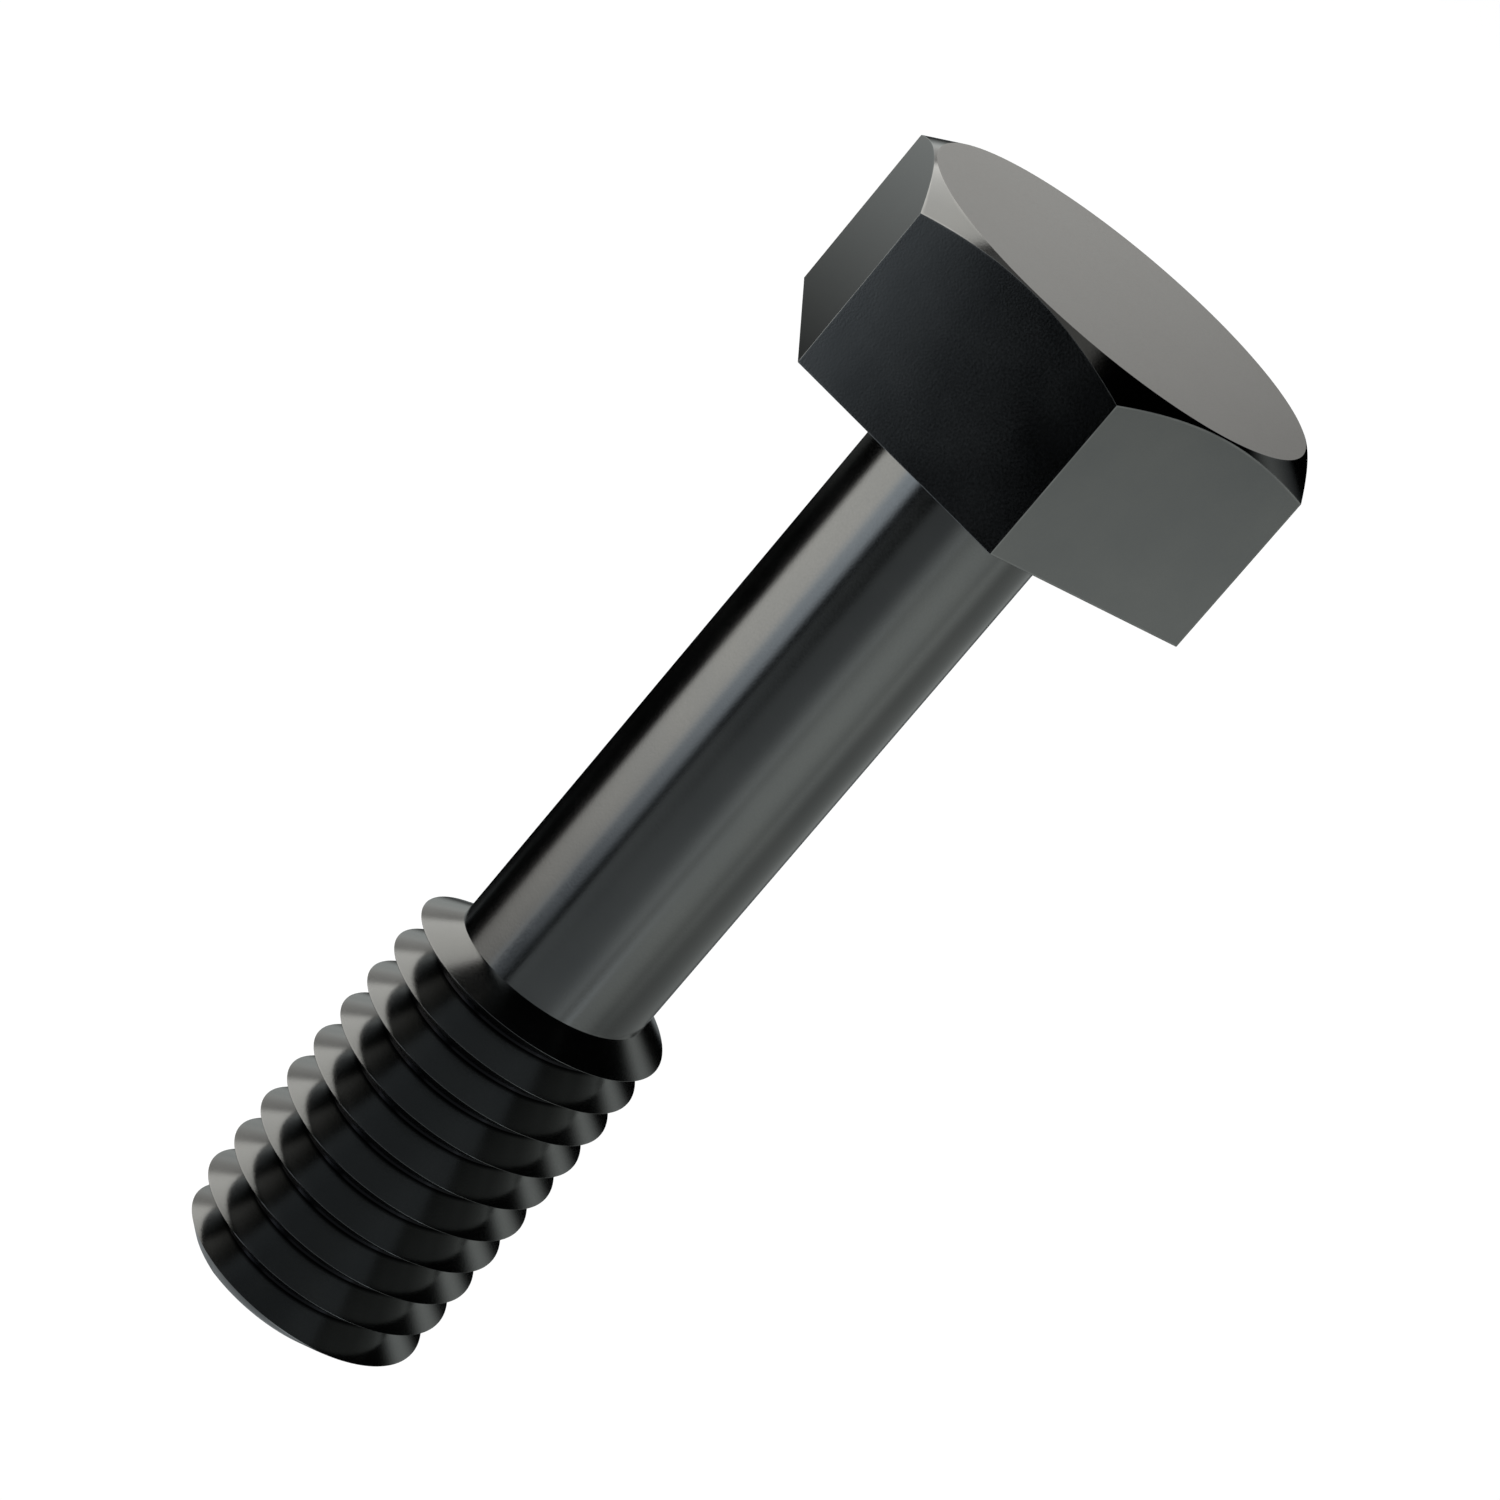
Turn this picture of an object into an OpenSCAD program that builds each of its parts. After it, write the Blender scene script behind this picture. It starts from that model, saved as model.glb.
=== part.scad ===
// Captive hexagon-head bolt, M5 x 20, with a plain waist above a short right-hand thread.
// Origin: the middle of the bearing face under the head. +Z runs up through the head.

/* [Head] */
// Width across the flats of the hexagon
across_flats = 8; // [7.8:0.05:8.2]
// Height of the head above the bearing face
head_h = 3.6; // [3.3:0.1:3.8]
// Diameter of the flat top inside the chamfer
top_face_d = 7.92; // [7.4:0.02:7.98]
// Slope of the head's chamfer, down from the top face
head_chamfer_angle = 30; // [15:1:35]

/* [Waist] */
// Diameter of the plain waist, which is smaller than the root of the thread
waist_d = 3.7; // [3.4:0.05:3.75]
// Length of the waist, from the bearing face to where the ridge of the thread starts
waist_l = 12; // [4:0.5:40]
// Radius of the fillet between the waist and the bearing face
neck_r = 0.2; // [0.1:0.05:0.3]

/* [Thread] */
// Diameter over the crests of the thread
thread_d = 5; // [4.9:0.02:5]
// Height that the thread climbs in one turn
pitch = 0.8; // [0.75:0.05:0.85]
// Width of the flat along the crest
crest_flat = 0.04; // [0.02:0.01:0.06]
// Length from the start of the ridge to the end of the tip
thread_l = 8; // [4:0.5:16]
// Height of the 45 degree chamfer around the tip
tip_chamfer = 0.37; // [0.2:0.01:0.45]
// Direction in which the ridge starts, seen from above
thread_start_angle = 157; // [0:1:359]
// Angle over which the ridge rises to its full height
run_in_angle = 90; // [45:5:180]

/* [Hidden] */
$fn = 96;

blackened_steel = [0.16, 0.17, 0.17];
flank_angle = 30;               // half of the 60 degree thread form
depth_per_pitch = 0.75;         // depth of the sharp V groove, in pitches
corner_r = across_flats/sqrt(3);
waist_r = waist_d/2;
crest_r = thread_d/2;
root_r = crest_r - depth_per_pitch*pitch;
tip_r = crest_r - tip_chamfer;
bolt_l = waist_l + thread_l;    // below the head
clear = 1;                      // how far a cutting outline reaches past the metal

facets = 48;                    // round one turn of the thread
start_height = 0.03;            // share of the full height at which the ridge starts
ridge_half = crest_flat/2 + flank_drop(crest_r - root_r);
turns = ceil((thread_l + ridge_half)/pitch);
steps = facets*turns;
thread_top_z = crest_flat/2 + flank_drop(crest_r - waist_r) - waist_l;  // above the whole run-in
full_thread_end_z = tip_chamfer - bolt_l;
blank_end_z = -waist_l - pitch*(turns + 1);

// How far a flank drops over a radial distance
function flank_drop(dr) = dr*tan(flank_angle);
// Eases from 0 to 1 over the run-in
function eased(step) = let(t = min(max(step*360/facets/run_in_angle, 0), 1)) t*t*(3 - 2*t);
function crest_at(step) = waist_r + (crest_r - waist_r)*max(eased(step), start_height);
function root_at(step) = waist_r + (root_r - waist_r)*eased(step);
// A right-hand thread goes down as it turns clockwise, seen from above
function round_axis(r, step, z) =
    let(a = thread_start_angle - step*360/facets) [r*cos(a), r*sin(a), z];
// The four corners of the ridge at one step: upper foot, two crest corners, lower foot
function ridge_corners(step) =
    let(z = -waist_l - pitch*step/facets,
        crest = crest_at(step),
        above = root_at(step - facets),
        below = root_at(step))
    [round_axis(above, step, z + crest_flat/2 + flank_drop(crest - above)),
     round_axis(crest, step, z + crest_flat/2),
     round_axis(crest, step, z - crest_flat/2),
     round_axis(below, step, z - crest_flat/2 - flank_drop(crest - below))];

// The thread with its core, before its end is cut: one closed skin that follows the helix
module thread_blank() {
    points = concat(
        [for (i = [0:steps]) each ridge_corners(i)],
        [for (i = [0:facets - 1]) round_axis(waist_r, i, thread_top_z)],
        [for (i = [0:facets - 1]) round_axis(root_r, steps + i, blank_end_z)]);
    first_top = 4*(steps + 1);
    first_end = first_top + facets;
    last_turn = steps - facets;
    function corner(i, k) = 4*i + k;
    function top(i) = first_top + i % facets;
    function end(i) = first_end + i % facets;
    function split(a, b, c, d) = [[a, b, c], [a, c, d]];

    ridge = [for (i = [0:steps - 1], k = [0:2])
        each split(corner(i, k), corner(i, k + 1), corner(i + 1, k + 1), corner(i + 1, k))];
    groove = [for (i = [0:last_turn - 1])
        each split(corner(i, 3), corner(i + facets, 0), corner(i + facets + 1, 0), corner(i + 1, 3))];
    shoulder = [for (i = [0:facets - 2]) [top(i), corner(i, 0), corner(i + 1, 0), top(i + 1)]];
    start_seam = [top(facets - 1), corner(facets - 1, 0), corner(facets, 0),
        corner(0, 3), corner(0, 0), top(0)];
    foot = [for (i = [1:facets - 1]) let(j = last_turn + i)
        [corner(j, 3), end(i), end(i + 1), corner(j + 1, 3)]];
    end_seam = [corner(last_turn, 3), corner(steps, 0), corner(steps, 3), end(0), end(1),
        corner(last_turn + 1, 3)];
    start_face = [for (k = [3:-1:0]) corner(0, k)];
    end_face = [for (k = [0:3]) corner(steps, k)];
    top_disc = [for (i = [0:facets - 1]) top(i)];
    end_disc = [for (i = [facets - 1:-1:0]) end(i)];
    polyhedron(points, concat(ridge, groove, shoulder, [start_seam], foot, [end_seam],
        [start_face, end_face, top_disc, end_disc]), convexity = 10);
}

module chamfered_hexagon() {
    outer_r = corner_r + clear;
    chamfer_foot_z = head_h - (outer_r - top_face_d/2)*tan(head_chamfer_angle);
    intersection() {
        cylinder(r = corner_r, h = head_h, $fn = 6);
        rotate_extrude()
            polygon([[0, 0], [outer_r, 0], [outer_r, chamfer_foot_z], [top_face_d/2, head_h], [0, head_h]]);
    }
}

module neck_fillet() {
    rotate_extrude()
        translate([0, -neck_r])
            difference() {
                square([waist_r + neck_r, neck_r]);
                translate([waist_r + neck_r, 0]) circle(neck_r);
            }
}

module hex_head() {
    color(blackened_steel) {
        chamfered_hexagon();
        neck_fillet();
    }
}

module waist() {
    color(blackened_steel)
        translate([0, 0, thread_top_z])
            cylinder(r = waist_r, h = -neck_r - thread_top_z);
}

module screw_thread() {
    color(blackened_steel)
        intersection() {
            thread_blank();
            translate([0, 0, full_thread_end_z])
                cylinder(r = crest_r + clear, h = thread_top_z + clear - full_thread_end_z);
        }
}

module chamfered_point() {
    color(blackened_steel)
        intersection() {
            thread_blank();
            translate([0, 0, -bolt_l]) cylinder(r1 = tip_r, r2 = crest_r, h = tip_chamfer);
        }
}

hex_head();
waist();
screw_thread();
chamfered_point();
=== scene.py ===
"""Captive hexagon-head bolt, M5 x 20: the visual model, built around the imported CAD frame.

The bolt is one piece of blackened steel. Its four regions are built here as four closed meshes:
the head, the waist, the helical thread and the chamfered point. Lengths are in metres.
"""

import math

import bpy
from mathutils import Matrix, Vector


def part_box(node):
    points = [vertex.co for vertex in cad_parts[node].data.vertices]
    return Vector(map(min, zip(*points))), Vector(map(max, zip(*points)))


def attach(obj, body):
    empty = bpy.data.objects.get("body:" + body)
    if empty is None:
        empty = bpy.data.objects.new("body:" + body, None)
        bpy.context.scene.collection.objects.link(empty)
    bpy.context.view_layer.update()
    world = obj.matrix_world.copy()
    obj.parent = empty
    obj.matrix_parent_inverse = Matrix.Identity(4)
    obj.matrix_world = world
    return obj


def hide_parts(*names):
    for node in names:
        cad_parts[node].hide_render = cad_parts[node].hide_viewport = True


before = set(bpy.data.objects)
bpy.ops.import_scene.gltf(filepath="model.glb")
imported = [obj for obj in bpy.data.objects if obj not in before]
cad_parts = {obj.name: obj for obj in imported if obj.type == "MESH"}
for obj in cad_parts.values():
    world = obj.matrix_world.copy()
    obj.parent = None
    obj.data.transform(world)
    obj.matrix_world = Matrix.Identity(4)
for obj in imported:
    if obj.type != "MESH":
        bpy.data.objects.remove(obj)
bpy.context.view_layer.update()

MM = 0.001

# ---------------------------------------------------------------- sizes, from the CAD frame
HEAD_LO, HEAD_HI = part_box("hex_head")
WAIST_LO, WAIST_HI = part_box("waist")
POINT_LO, POINT_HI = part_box("chamfered_point")

FLAT_R = HEAD_HI.y                       # from the axis to a flat
HEAD_TOP_Z = HEAD_HI.z
NECK_Z = HEAD_LO.z                       # where the fillet under the head runs into the waist
WAIST_R = WAIST_HI.x
CREST_R = 2.5 * MM                       # an M5 thread over its crests
WAIST_END_Z = WAIST_LO.z
CHAMFER_Z = POINT_HI.z                   # where the 45 degree tip chamfer starts
END_Z = POINT_LO.z

# ---------------------------------------------------------------- head
TOP_FACE_R = 3.96 * MM
HEAD_CHAMFER = math.radians(30)
NECK_R = -NECK_Z                         # radius of the fillet, which ends as far below the head
EDGE_R = 0.010 * MM                      # rounding left on the edges of the head
WEAR_SHARE = 0.012                       # share of a face over which the wear on its edge fades
HALF_SIDE = math.tan(math.radians(30))   # half a side of a hexagon that is 1 from its axis to a flat
SIDE_STEPS = 24                          # columns across one flat
CORNER_STEPS = 4                         # columns round one rounded corner
RIM_STEPS = 3                            # rows round the edge of the top face
EDGE_STEPS = 4                           # rows round the upper and the lower edge of a flat
FILLET_STEPS = 8                         # rows down the fillet under the head
# rows across each face, as shares of the way over it
TOP_ROWS = (0.25, 0.5, 0.75, 0.9, 1 - WEAR_SHARE)
CHAMFER_ROWS = (0.1, 0.5, 0.9)
SIDE_ROWS = (WEAR_SHARE, 0.25, 0.5, 0.75, 1 - WEAR_SHARE)
UNDER_ROWS = (WEAR_SHARE, 0.35, 0.7)

# ---------------------------------------------------------------- waist
WAIST_ROWS = 48
WAIST_SHARP = math.radians(40)           # edges that bend more than this are shaded sharp

# ---------------------------------------------------------------- thread
PITCH = 0.8 * MM
THREAD_DEPTH = 0.81 * PITCH              # a little deeper than the CAD's, so that the root looks sharp
ROOT_R = CREST_R - THREAD_DEPTH
FLANK = math.radians(30)
CREST_FLAT = 0.006 * MM
RIDGE_START_Z = -12.0 * MM
RIDGE_START_ANGLE = math.radians(157)
RUN_IN = math.radians(90)                # the ridge rises to its full height over this angle
START_HEIGHT = 0.03                      # share of the full height at which it starts
TURN_STEPS = 144
SECTION_CORNERS = 4                      # corners of the ridge at one step
THREAD_SHARP = math.radians(25)
MARGIN = 0.1 * MM                        # how far the uncut thread reaches past its upper cut
CLEAR = 1.0 * MM                         # how far a cutting envelope stands off the crests

# ---------------------------------------------------------------- camera, fitted to the photo
CAM_AIM = Vector((0.644, -1.693, -6.063)) * MM
CAM_AZIMUTH = 17.25
CAM_ELEVATION = 18.495
CAM_ROLL = 40.31
CAM_DISTANCE = 92.06 * MM
CAM_LENS = 130.7
CAM_SENSOR = 36.0
CLIP_START = 0.005
CLIP_END = 20.0


def direction(azimuth, elevation):
    """Unit vector from the object: azimuth 0 is -Y and 90 is +X; elevation is above the horizon."""
    a, e = math.radians(azimuth), math.radians(elevation)
    return Vector((math.sin(a) * math.cos(e), -math.cos(a) * math.cos(e), math.sin(e)))


def make_camera():
    data = bpy.data.cameras.new("camera")
    data.lens = CAM_LENS
    data.sensor_width = CAM_SENSOR
    data.clip_start = CLIP_START
    data.clip_end = CLIP_END
    camera = bpy.data.objects.new("camera", data)
    bpy.context.scene.collection.objects.link(camera)
    back = direction(CAM_AZIMUTH, CAM_ELEVATION)
    level = (-back).to_track_quat("-Z", "Y").to_matrix()
    turned = level @ Matrix.Rotation(math.radians(CAM_ROLL), 3, "Z")
    camera.matrix_world = Matrix.Translation(CAM_AIM + back * CAM_DISTANCE) @ turned.to_4x4()
    bpy.context.scene.camera = camera


# ---------------------------------------------------------------- mesh helpers
def new_object(name, mesh):
    piece = bpy.data.objects.new(name, mesh)
    bpy.context.scene.collection.objects.link(piece)
    return piece


def mesh_from_rings(name, rings, normals, wear=None):
    """A closed skin through rings of points that all go round the axis, with a centre point at each end.

    Each ring is a list of points. normals holds one normal per point, or None to leave them to Blender.
    wear holds one share per point, for how far the black has worn off there.
    """
    count = len(rings[0])
    points = [p for ring in rings for p in ring]
    top = len(points)
    points.append(Vector((0, 0, rings[0][0].z)))
    end = len(points)
    points.append(Vector((0, 0, rings[-1][0].z)))
    faces = []
    for i in range(count):
        j = (i + 1) % count
        faces.append((top, i, j))
        for k in range(len(rings) - 1):
            a, b = k * count, (k + 1) * count
            faces.append((a + i, b + i, b + j, a + j))
        last = (len(rings) - 1) * count
        faces.append((end, last + j, last + i))
    mesh = bpy.data.meshes.new(name)
    mesh.from_pydata(points, [], faces)
    mesh.polygons.foreach_set("use_smooth", [True] * len(faces))
    if normals:
        flat = [n for ring in normals for n in ring]
        flat.append(Vector((0, 0, 1)))
        flat.append(Vector((0, 0, -1)))
        mesh.normals_split_custom_set([flat[loop.vertex_index] for loop in mesh.loops])
    if wear:
        shares = [share for ring in wear for share in ring] + [0.0, 0.0]
        mesh.attributes.new("wear", "FLOAT", "POINT").data.foreach_set("value", shares)
    mesh.validate()
    mesh.update()
    return mesh


def arc(corner, before, after, radius, steps):
    """Rounds a corner of a radial profile: [(r, z, share)], share going from 0 on the first side to 1."""
    u, v = (before - corner).normalized(), (after - corner).normalized()
    half = u.angle(v) / 2
    centre = corner + (u + v).normalized() * radius / math.sin(half)
    start = corner + u * radius / math.tan(half) - centre
    turn = math.pi - 2 * half
    sign = 1 if start.x * v.y - start.y * v.x > 0 else -1
    out = []
    for i in range(steps + 1):
        a = sign * turn * i / steps
        c, s = math.cos(a), math.sin(a)
        out.append((centre.x + start.x * c - start.y * s, centre.y + start.x * s + start.y * c, i / steps))
    return out


# ---------------------------------------------------------------- head
def hexagon_outline():
    """[(point, outward normal, is it on a corner)] round the hexagon, whose corners are rounded by EDGE_R."""
    out = []
    for side in range(6):
        facing = math.radians(-90 + 60 * side)
        normal = Vector((math.cos(facing), math.sin(facing)))
        along = Vector((-normal.y, normal.x))
        reach = (FLAT_R - EDGE_R) * HALF_SIDE
        inside = [math.tan(math.radians(-30 + 60 * i / SIDE_STEPS)) / HALF_SIDE
                  for i in range(1, SIDE_STEPS)]
        for t in [-1.0, -1 + WEAR_SHARE, *inside, 1 - WEAR_SHARE, 1.0]:
            out.append((normal * FLAT_R + along * reach * t, normal, abs(t) == 1.0))
        centre = normal * (FLAT_R - EDGE_R) + along * reach
        for i in range(1, CORNER_STEPS):
            a = facing + math.radians(60 * i / CORNER_STEPS)
            turned = Vector((math.cos(a), math.sin(a)))
            out.append((centre + turned * EDGE_R, turned, True))
    return out


def head_column(point, side_normal, on_corner):
    """[(place, normal, wear)] down the head at one point of its outline, from the top to the waist."""
    up, down = Vector((0, 0, 1)), Vector((0, 0, -1))
    r = point.length
    radial = point.normalized().to_3d()
    side = side_normal.to_3d()
    cone = radial * math.sin(HEAD_CHAMFER) + up * math.cos(HEAD_CHAMFER)
    edge_z = HEAD_TOP_Z - (r - TOP_FACE_R) * math.tan(HEAD_CHAMFER)
    middle_of_top, rim = Vector((0, HEAD_TOP_Z)), Vector((TOP_FACE_R, HEAD_TOP_Z))
    edge, foot, inner = Vector((r, edge_z)), Vector((r, 0.0)), Vector((WAIST_R + NECK_R, 0.0))

    column = [(TOP_FACE_R * t, HEAD_TOP_Z, up, 0.0) for t in TOP_ROWS]
    for x, z, t in arc(rim, middle_of_top, edge, EDGE_R, RIM_STEPS):
        column.append((x, z, up.lerp(cone, t), 0.5))
    for t in CHAMFER_ROWS:
        middle = rim.lerp(edge, t)
        column.append((middle.x, middle.y, cone, 0.0))
    for x, z, t in arc(edge, rim, foot, EDGE_R, EDGE_STEPS):
        column.append((x, z, cone.lerp(side, t), 1.0))
    for t in SIDE_ROWS:
        column.append((r, edge_z * (1 - t), side, float(on_corner)))
    for x, z, t in arc(foot, edge, inner, EDGE_R, EDGE_STEPS):
        column.append((x, z, side.lerp(down, t), 1.0))
    for t in UNDER_ROWS:
        column.append((r + (inner.x - r) * t, 0.0, down, 0.0))
    for i in range(FILLET_STEPS + 1):
        a = math.radians(90 * i / FILLET_STEPS)
        fillet = radial * math.sin(a) - up * math.cos(a)
        column.append((inner.x - NECK_R * math.sin(a), -NECK_R * (1 - math.cos(a)), fillet, 0.0))
    return [(radial * x + up * z, n.normalized(), worn) for x, z, n, worn in column]


def head_mesh():
    """Chamfered hexagon with finely rounded edges, its bearing face and the fillet under it."""
    columns = [head_column(*corner) for corner in hexagon_outline()]
    rows = list(zip(*columns))
    rings = [[place for place, _, _ in row] for row in rows]
    normals = [[normal for _, normal, _ in row] for row in rows]
    wear = [[worn for _, _, worn in row] for row in rows]
    return mesh_from_rings("head", rings, normals, wear)


# ---------------------------------------------------------------- waist
def circle(radius, z, steps=TURN_STEPS):
    return [Vector((radius * math.cos(a), radius * math.sin(a), z))
            for a in (2 * math.pi * i / steps for i in range(steps))]


def waist_mesh():
    """The plain reduced shank, between the fillet and the start of the thread."""
    rings = [circle(WAIST_R, NECK_Z + (WAIST_END_Z - NECK_Z) * k / WAIST_ROWS)
             for k in range(WAIST_ROWS + 1)]
    mesh = mesh_from_rings("waist", rings, None)
    mesh.set_sharp_from_angle(angle=WAIST_SHARP)
    return mesh


# ---------------------------------------------------------------- thread
def eased(angle):
    """Share of its full height that the ridge has reached, at an angle from its start."""
    t = min(max(angle / RUN_IN, 0.0), 1.0)
    return t * t * (3 - 2 * t)


def crest_at(angle):
    return WAIST_R + (CREST_R - WAIST_R) * max(eased(angle), START_HEIGHT)


def root_at(angle):
    return WAIST_R + (ROOT_R - WAIST_R) * eased(angle)


def round_axis(r, step, z):
    """A point at a step of the helix. A right-hand thread goes down as it turns clockwise from above."""
    a = RIDGE_START_ANGLE - 2 * math.pi * step / TURN_STEPS
    return r * math.cos(a), r * math.sin(a), z


def ridge_corners(step):
    """The corners of the ridge at one step: upper foot, two crest corners, lower foot."""
    angle = 2 * math.pi * step / TURN_STEPS
    z = RIDGE_START_Z - PITCH * step / TURN_STEPS
    crest = crest_at(angle)
    above, below = root_at(angle - 2 * math.pi), root_at(angle)
    drop = math.tan(FLANK)
    upper = z + CREST_FLAT / 2 + (crest - above) * drop
    lower = z - CREST_FLAT / 2 - (crest - below) * drop
    profile = [(above, upper), (crest, z + CREST_FLAT / 2), (crest, z - CREST_FLAT / 2), (below, lower)]
    return [round_axis(r, step, height) for r, height in profile]


def thread_faces(steps):
    """One closed skin over the points that thread_blank lists, which follows the helix."""
    first_top = SECTION_CORNERS * (steps + 1)
    first_end = first_top + TURN_STEPS
    last_turn = steps - TURN_STEPS
    foot = SECTION_CORNERS - 1

    def corner(i, k):
        return SECTION_CORNERS * i + k

    def top(i):
        return first_top + i % TURN_STEPS

    def end(i):
        return first_end + i % TURN_STEPS

    ridge = [(corner(i, k), corner(i, k + 1), corner(i + 1, k + 1), corner(i + 1, k))
             for i in range(steps) for k in range(foot)]
    grooves = [(corner(i, foot), corner(i + TURN_STEPS, 0),
                corner(i + TURN_STEPS + 1, 0), corner(i + 1, foot)) for i in range(last_turn)]
    shoulder = [(top(i), corner(i, 0), corner(i + 1, 0), top(i + 1)) for i in range(TURN_STEPS - 1)]
    start_seam = (top(TURN_STEPS - 1), corner(TURN_STEPS - 1, 0), corner(TURN_STEPS, 0),
                  corner(0, foot), corner(0, 0), top(0))
    run_out = [(corner(last_turn + i, foot), end(i), end(i + 1), corner(last_turn + i + 1, foot))
               for i in range(1, TURN_STEPS)]
    end_seam = (corner(last_turn, foot), corner(steps, 0), corner(steps, foot), end(0), end(1),
                corner(last_turn + 1, foot))
    start_face = [corner(0, k) for k in reversed(range(SECTION_CORNERS))]
    end_face = [corner(steps, k) for k in range(SECTION_CORNERS)]
    top_disc = [top(i) for i in range(TURN_STEPS)]
    end_disc = [end(i) for i in reversed(range(TURN_STEPS))]
    return [*ridge, *grooves, *shoulder, start_seam, *run_out, end_seam,
            start_face, end_face, top_disc, end_disc]


def thread_blank():
    """The helical thread with its core, running on past both of its ends."""
    turns = math.ceil((RIDGE_START_Z - END_Z) / PITCH) + 1
    steps = TURN_STEPS * turns
    blank_end_z = RIDGE_START_Z - PITCH * (turns + 1)
    points = [corner for step in range(steps + 1) for corner in ridge_corners(step)]
    points += [round_axis(WAIST_R, i, WAIST_END_Z + MARGIN) for i in range(TURN_STEPS)]
    points += [round_axis(ROOT_R, steps + i, blank_end_z) for i in range(TURN_STEPS)]
    mesh = bpy.data.meshes.new("thread_blank")
    mesh.from_pydata(points, [], thread_faces(steps))
    mesh.validate()
    mesh.update()
    return mesh


def intersected(name, mesh, profile):
    """What is left of a mesh inside the solid that a radial profile sweeps round the axis."""
    rings = [circle(r, z, 2 * TURN_STEPS) for r, z in profile]
    envelope = new_object(name + "_envelope", mesh_from_rings(name + "_envelope", rings, None))
    blank = new_object(name + "_blank", mesh)
    cut = blank.modifiers.new("cut", "BOOLEAN")
    cut.operation = "INTERSECT"
    cut.solver = "EXACT"
    cut.object = envelope
    depsgraph = bpy.context.evaluated_depsgraph_get()
    result = bpy.data.meshes.new_from_object(blank.evaluated_get(depsgraph))
    result.name = name
    bpy.data.objects.remove(blank)
    bpy.data.objects.remove(envelope)
    result.polygons.foreach_set("use_smooth", [True] * len(result.polygons))
    result.set_sharp_from_angle(angle=THREAD_SHARP)
    return result


def build_pieces():
    outer = CREST_R + CLEAR
    blank = thread_blank()
    thread = intersected("thread", blank, [(outer, WAIST_END_Z), (outer, CHAMFER_Z)])
    tip = CREST_R - (CHAMFER_Z - END_Z)
    point = intersected("point", blank, [(CREST_R, CHAMFER_Z), (tip, END_Z)])
    return {
        "hex_head": new_object("bolt_head", head_mesh()),
        "waist": new_object("bolt_waist", waist_mesh()),
        "screw_thread": new_object("bolt_thread", thread),
        "chamfered_point": new_object("bolt_point", point),
    }


# ---------------------------------------------------------------- material
NOISE_RANGE = (0.3, 0.7)                 # where most of a noise's values lie


class Nodes:
    """Short calls for building one material's node tree."""

    def __init__(self, material):
        material.use_nodes = True
        self.tree = material.node_tree
        self.shader = self.tree.nodes["Principled BSDF"]

    def add(self, kind, **settings):
        node = self.tree.nodes.new(kind)
        for key, value in settings.items():
            setattr(node, key, value)
        return node

    def link(self, source, target):
        self.tree.links.new(source, target)

    def scaled(self, vector, factors):
        """The coordinates stretched by a factor along each axis."""
        node = self.add("ShaderNodeVectorMath", operation="MULTIPLY")
        self.link(vector, node.inputs[0])
        node.inputs[1].default_value = factors
        return node.outputs[0]

    def noise(self, vector, per_metre, detail=2.0):
        node = self.add("ShaderNodeTexNoise")
        self.link(vector, node.inputs["Vector"])
        node.inputs["Scale"].default_value = per_metre
        node.inputs["Detail"].default_value = detail
        return node.outputs["Fac"]

    def ranged(self, value, low, high, source=NOISE_RANGE):
        """The value, taken from its source range to the range from low to high."""
        node = self.add("ShaderNodeMapRange")
        self.link(value, node.inputs["Value"])
        node.inputs["From Min"].default_value = source[0]
        node.inputs["From Max"].default_value = source[1]
        node.inputs["To Min"].default_value = low
        node.inputs["To Max"].default_value = high
        return node.outputs["Result"]

    def maths(self, operation, first, second):
        node = self.add("ShaderNodeMath", operation=operation)
        self.link(first, node.inputs[0])
        self.link(second, node.inputs[1])
        return node.outputs[0]

    def mixed(self, share, low, high):
        node = self.add("ShaderNodeMix", data_type="RGBA")
        self.link(share, node.inputs["Factor"])
        for socket, value in ((node.inputs["A"], low), (node.inputs["B"], high)):
            if isinstance(value, tuple):
                socket.default_value = (*value, 1.0)
            else:
                self.link(value, socket)
        return node.outputs["Result"]

    def bump(self, height, depth, below=None):
        """Adds a relief whose full range is depth metres."""
        node = self.add("ShaderNodeBump")
        node.inputs["Strength"].default_value = 1.0
        node.inputs["Distance"].default_value = depth
        self.link(height, node.inputs["Height"])
        if below:
            self.link(below, node.inputs["Normal"])
        return node.outputs["Normal"]


# noise scales are in features per metre
OXIDE_DARK = (0.103, 0.105, 0.104)
OXIDE_LIGHT = (0.118, 0.119, 0.116)
PATCHES = 650.0                          # soft patches of darker and lighter black, duller and smoother
GRAIN = 26000.0
GRAIN_DULLS = 0.02                       # how far the grain takes the roughness up and down
OXIDE_WORN = (0.19, 0.19, 0.185)
WORN_PATCHES = 2200.0
LEAST_WORN = 0.25                        # share of the wear that is left between its patches
CREST_WEAR = 0.4
WEAR_DEPTH = 0.03 * MM                   # how far in from the crests it reaches
ROOT_PAINTED_SHADE = (0.012, 0.012, 0.013)    # painted shade: the roots of the thread darkened to near black
GROOVE_SHADE = 0.08 * MM                 # how far out from the root the painted shade reaches
FIRST_GROOVE_Z = RIDGE_START_Z - PITCH / 2 - MARGIN      # the waist above this gets no painted root shade
# The lines that the tool left: their scale, their stretch along X, Y and Z, and their depth. Then the
# depth of the grain, and the roughness from the smoothest patches to the dullest.
FORGED = {"lines": 12000.0, "stretch": (1.0, 1.0, 0.05), "line_depth": 0.00008 * MM,
          "grain_depth": 0.00025 * MM, "satin": (0.09, 0.12)}
TURNED = {"lines": 16000.0, "stretch": (0.02, 0.02, 1.0), "line_depth": 0.00012 * MM,
          "grain_depth": 0.00045 * MM, "satin": (0.15, 0.19)}


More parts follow.
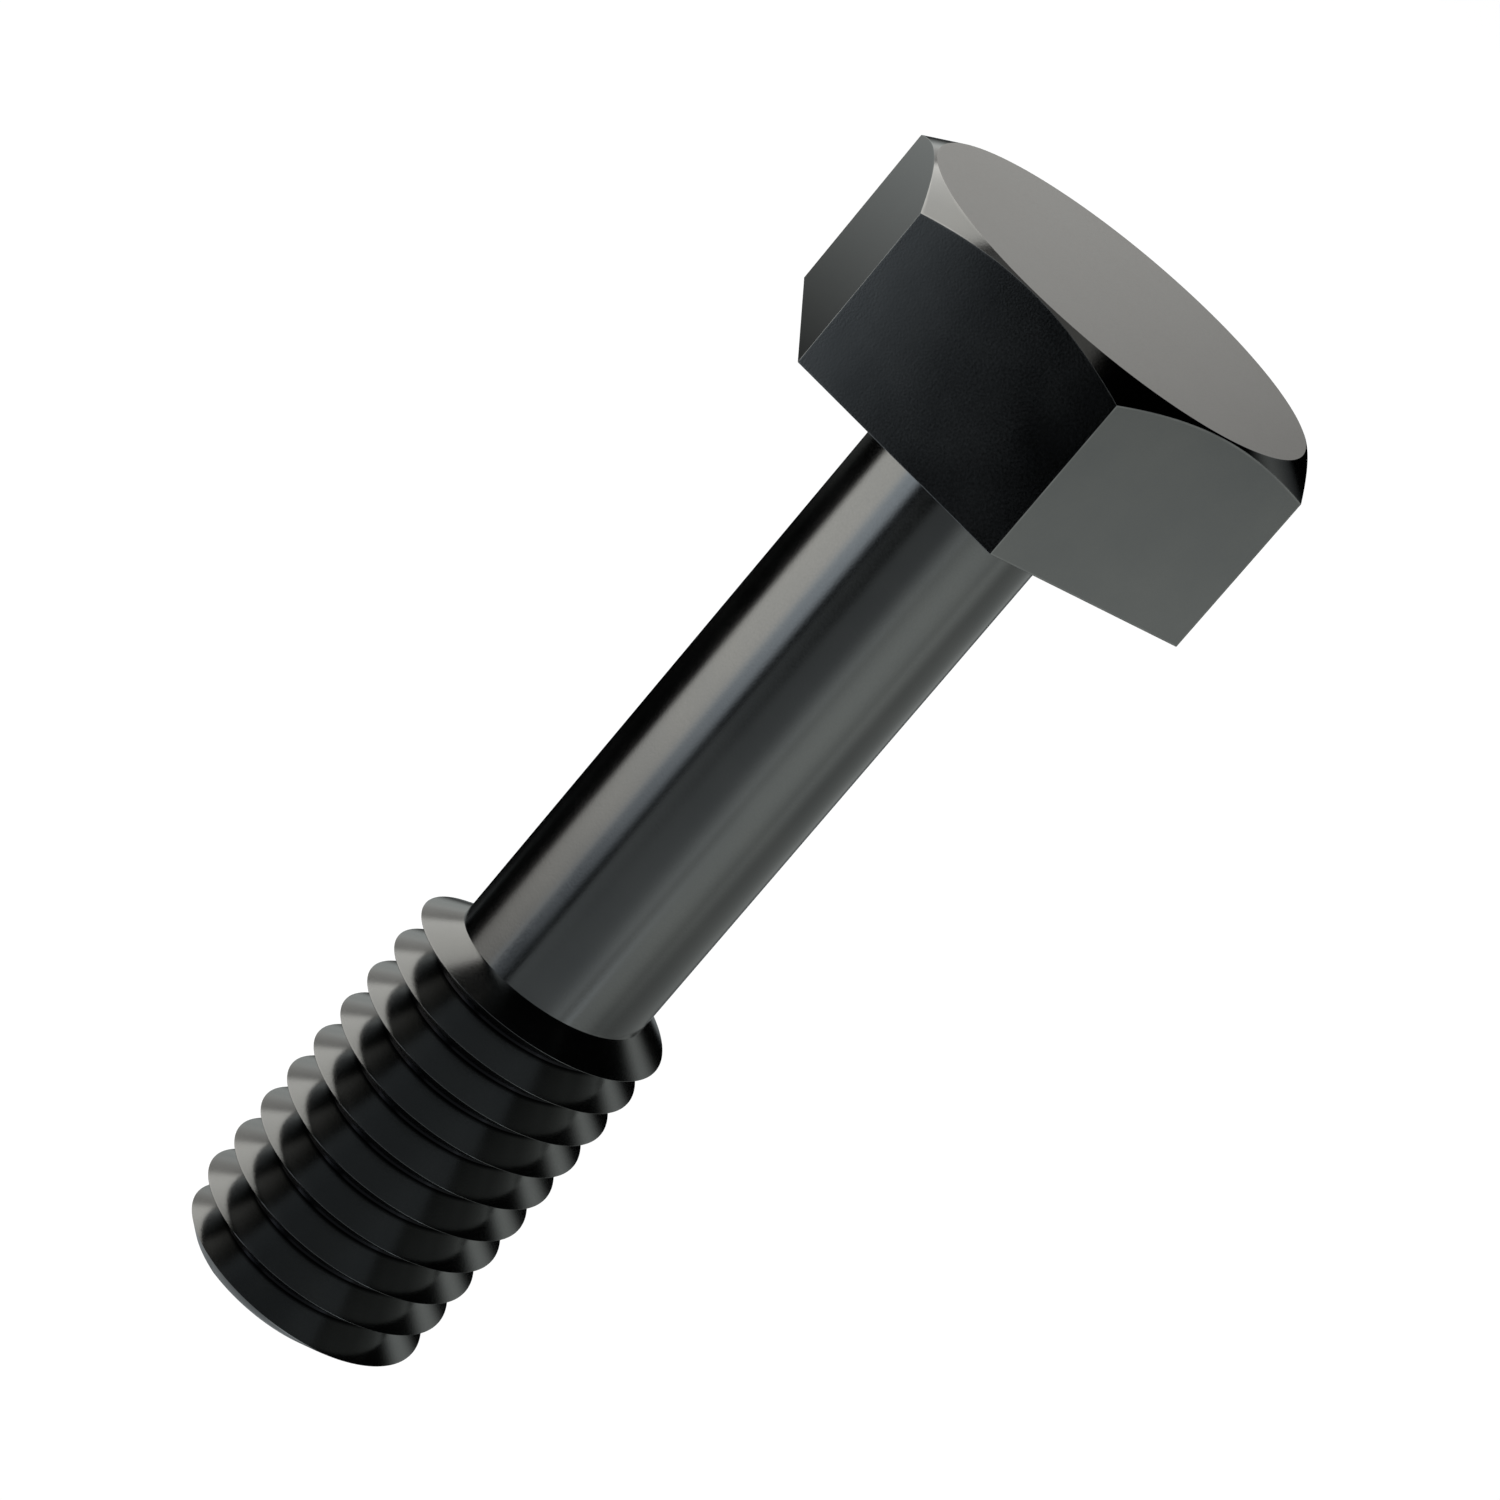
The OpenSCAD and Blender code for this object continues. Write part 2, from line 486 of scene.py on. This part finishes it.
def painted_root_shade_and_crest_wear(nodes, place, colour):
    """The colour with painted shade in the roots of the thread, and how worn the crests are."""
    radius = nodes.add("ShaderNodeVectorMath", operation="LENGTH")
    nodes.link(nodes.scaled(place, (1.0, 1.0, 0.0)), radius.inputs[0])
    radius = radius.outputs["Value"]
    height = nodes.add("ShaderNodeSeparateXYZ")
    nodes.link(place, height.inputs[0])
    out_of_root = nodes.ranged(radius, 0.0, 1.0, (ROOT_R, ROOT_R + GROOVE_SHADE))
    above = nodes.ranged(height.outputs["Z"], 0.0, 1.0, (FIRST_GROOVE_Z, FIRST_GROOVE_Z + GROOVE_SHADE))
    # painted shade: the colour goes to near black towards the root of each groove
    colour = nodes.mixed(nodes.maths("MAXIMUM", out_of_root, above), ROOT_PAINTED_SHADE, colour)
    worn = nodes.ranged(radius, 0.0, CREST_WEAR, (CREST_R - WEAR_DEPTH, CREST_R))
    return colour, worn


def black_oxide(name, finish, grooved):
    """Blackened steel with a fine grain, tool lines, a little wear on its edges or crests, and painted shade
    in the roots of the thread.
    """
    material = bpy.data.materials.new(name)
    nodes = Nodes(material)
    place = nodes.add("ShaderNodeTexCoord").outputs["Object"]
    patches = nodes.noise(place, PATCHES, detail=3.0)
    grain = nodes.noise(place, GRAIN, detail=1.0)
    lines = nodes.noise(nodes.scaled(place, finish["stretch"]), finish["lines"])

    colour = nodes.mixed(nodes.ranged(patches, 0.0, 1.0), OXIDE_DARK, OXIDE_LIGHT)
    # the thread and the point get painted shade in their roots and wear on their crests
    if grooved:
        colour, worn = painted_root_shade_and_crest_wear(nodes, place, colour)
    else:
        worn = nodes.add("ShaderNodeAttribute", attribute_name="wear").outputs["Fac"]
    worn = nodes.maths("MULTIPLY", worn, nodes.ranged(nodes.noise(place, WORN_PATCHES), LEAST_WORN, 1.0))
    colour = nodes.mixed(worn, colour, OXIDE_WORN)
    nodes.link(colour, nodes.shader.inputs["Base Color"])

    dull = nodes.ranged(patches, *finish["satin"])
    dull = nodes.maths("ADD", dull, nodes.ranged(grain, -GRAIN_DULLS, GRAIN_DULLS))
    nodes.link(dull, nodes.shader.inputs["Roughness"])

    relief = nodes.bump(lines, finish["line_depth"])
    relief = nodes.bump(grain, finish["grain_depth"], below=relief)
    nodes.link(relief, nodes.shader.inputs["Normal"])
    nodes.shader.inputs["Metallic"].default_value = 1.0
    return material


# ---------------------------------------------------------------- studio
FAR = 1.0                                # metres from the bolt
NEAR = 0.25                              # close enough that its edge fades across the front flat
FEATHER = 5.0                            # degrees over which a softbox fades at its edges
WARM = (1.0, 0.985, 0.945)
GREENISH = (0.945, 1.0, 0.98)
COOL = (0.9, 0.97, 1.0)
BLUISH = (0.82, 0.91, 1.0)
PALE = (1.0, 1.0, 1.0)
FLOOR_Z = -0.13
FLOOR_R = 1.5


def faded_ends(tree, place, share):
    """Rises smoothly from 0 at both ends of a light's side to 1, over a share of that side."""
    from_end = tree.nodes.new("ShaderNodeMath")
    from_end.operation = "PINGPONG"
    from_end.inputs[1].default_value = 0.5
    tree.links.new(place, from_end.inputs[0])
    ramp = tree.nodes.new("ShaderNodeMapRange")
    ramp.interpolation_type = "SMOOTHSTEP"
    ramp.inputs["From Max"].default_value = min(share, 0.5)
    tree.links.new(from_end.outputs[0], ramp.inputs["Value"])
    return ramp.outputs["Result"]


def feather(data, across, up):
    """Makes an area light fade towards its edges. across and up are the faded shares of its sides."""
    data.use_nodes = True
    tree = data.node_tree
    geometry = tree.nodes.new("ShaderNodeNewGeometry")
    place = tree.nodes.new("ShaderNodeSeparateXYZ")
    tree.links.new(geometry.outputs["Parametric"], place.inputs[0])
    strength = tree.nodes.new("ShaderNodeMath")
    strength.operation = "MULTIPLY"
    tree.links.new(faded_ends(tree, place.outputs["X"], across), strength.inputs[0])
    tree.links.new(faded_ends(tree, place.outputs["Y"], up), strength.inputs[1])
    tree.links.new(strength.outputs[0], tree.nodes["Emission"].inputs["Strength"])


def softbox(name, azimuths, elevations, radiance, tint, distance=FAR, fade=FEATHER):
    """A plain area light that fills the directions between two azimuths and two elevations, in degrees."""
    azimuth, elevation = sum(azimuths) / 2, sum(elevations) / 2
    wide, high = azimuths[1] - azimuths[0], elevations[1] - elevations[0]
    half_width = math.radians(wide) / 2 * math.cos(math.radians(elevation))
    data = bpy.data.lights.new(name, "AREA")
    data.shape = "RECTANGLE"
    data.size = 2 * distance * math.tan(half_width)
    data.size_y = 2 * distance * math.tan(math.radians(high) / 2)
    data.energy = radiance * math.pi * data.size * data.size_y
    data.color = tint
    feather(data, fade / wide, fade / high)
    light = bpy.data.objects.new(name, data)
    bpy.context.scene.collection.objects.link(light)
    away = direction(azimuth, elevation)
    turned = away.to_track_quat("Z", "Y").to_matrix().to_4x4()
    light.matrix_world = Matrix.Translation(away * distance) @ turned
    light.visible_camera = False


def light_studio():
    """Each light was set where one part of the bolt mirrors it to the camera."""
    # the bright half of the chamfer and the left side of the thread
    softbox("key", (-152, -112), (17.5, 55), 2.4, WARM)
    # the rim of the chamfer beside it, where the light fades towards the zenith
    softbox("key_top", (-165, -112), (53, 82), 0.38, WARM)
    # the top face, brighter on its left
    softbox("key_skirt", (-174, -115), (0, 25), 0.77, WARM, fade=16)
    # the left flat, down to a dim lower edge
    softbox("key_foot", (-156.5, -110), (-16.5, 12), 0.62, GREENISH, fade=8)
    # the bright line down the left of the waist, and the fade across the front flat
    softbox("left_strip", (-86, -35), (-29, -4), 2.8, WARM, NEAR, fade=12)
    softbox("left_strip_end", (-46, -17), (-26, -4), 2.0, BLUISH, NEAR, fade=10)
    # the even right flat and the broad light on the right of the waist
    softbox("right_wall", (31, 125), (-31, -4), 1.17, GREENISH, fade=47)
    # the right edge of the waist
    softbox("right_back", (98, 182), (-32, -4), 0.46, GREENISH, fade=12)
    # the right side of the thread, by way of the lower flanks, and its right edge
    softbox("right_of_thread", (108, 156), (-14, 12), 0.9, GREENISH, fade=8)
    softbox("back_right", (148, 175), (-2, 38), 0.8, GREENISH, fade=12)
    # the middle of the waist, brighter towards the thread
    softbox("front", (2, 60), (-24, -6), 0.3, COOL, fade=12)
    softbox("front_low", (-19, 60), (-42, -16), 0.44, COOL, fade=8)
    # the tip's chamfer
    softbox("left_low", (-175, -105), (-78, -22), 0.35, COOL)
    # the thread's upper flanks, by way of the lower flanks above them
    softbox("below", (-70, 95), (-70, -33), 1.3, BLUISH)
    # the thread's first flank, by way of the waist above it
    softbox("left_fill", (-90, -30), (42, 70), 0.8, COOL)
    # the sides, the back and the underside, which the camera doesn't show
    softbox("right_fill", (10, 145), (26, 62), 0.7, COOL)
    softbox("right_level", (-5, 148), (2, 34), 0.7, GREENISH, fade=10)
    softbox("left_level", (-84, 5), (2, 46), 0.7, COOL, fade=10)
    softbox("left_back_level", (-126, -82), (-11, 32), 0.7, COOL)
    softbox("back_low", (180, 205), (-32, -4), 0.25, COOL)
    softbox("back_high", (-190, -158), (17, 46), 0.6, COOL, fade=10)
    softbox("back_under", (95, 185), (-75, -34), 0.4, COOL)


def make_floor():
    """A plain pale floor well below the bolt. It glows evenly, and only the camera sees it."""
    rings = [circle(FLOOR_R, FLOOR_Z), circle(FLOOR_R, FLOOR_Z - MM)]
    floor = new_object("floor", mesh_from_rings("floor", rings, None))
    material = bpy.data.materials.new("pale_floor")
    nodes = Nodes(material)
    nodes.shader.inputs["Base Color"].default_value = (0.0, 0.0, 0.0, 1.0)
    nodes.shader.inputs["Emission Color"].default_value = (*PALE, 1.0)
    nodes.shader.inputs["Emission Strength"].default_value = 1.0
    floor.data.materials.append(material)
    floor.visible_glossy = False
    floor.visible_diffuse = False
    floor.visible_shadow = False


def make_world():
    """The same pale tone behind the floor, and a dark room for the bolt to reflect between the lights."""
    world = bpy.data.worlds.new("studio")
    world.use_nodes = True
    tree = world.node_tree
    seen = tree.nodes.new("ShaderNodeLightPath").outputs["Is Camera Ray"]
    tree.nodes["Background"].inputs["Color"].default_value = (*PALE, 1.0)
    tree.links.new(seen, tree.nodes["Background"].inputs["Strength"])
    bpy.context.scene.world = world


# ---------------------------------------------------------------- build
make_camera()
pieces = build_pieces()
for node, piece in pieces.items():
    finish = FORGED if node == "hex_head" else TURNED
    grooved = node in ("screw_thread", "chamfered_point")
    piece.data.materials.append(black_oxide(piece.name + "_steel", finish, grooved))
    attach(piece, "root")
    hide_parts(node)
light_studio()
make_floor()
make_world()
bpy.context.scene.view_settings.view_transform = "Standard"
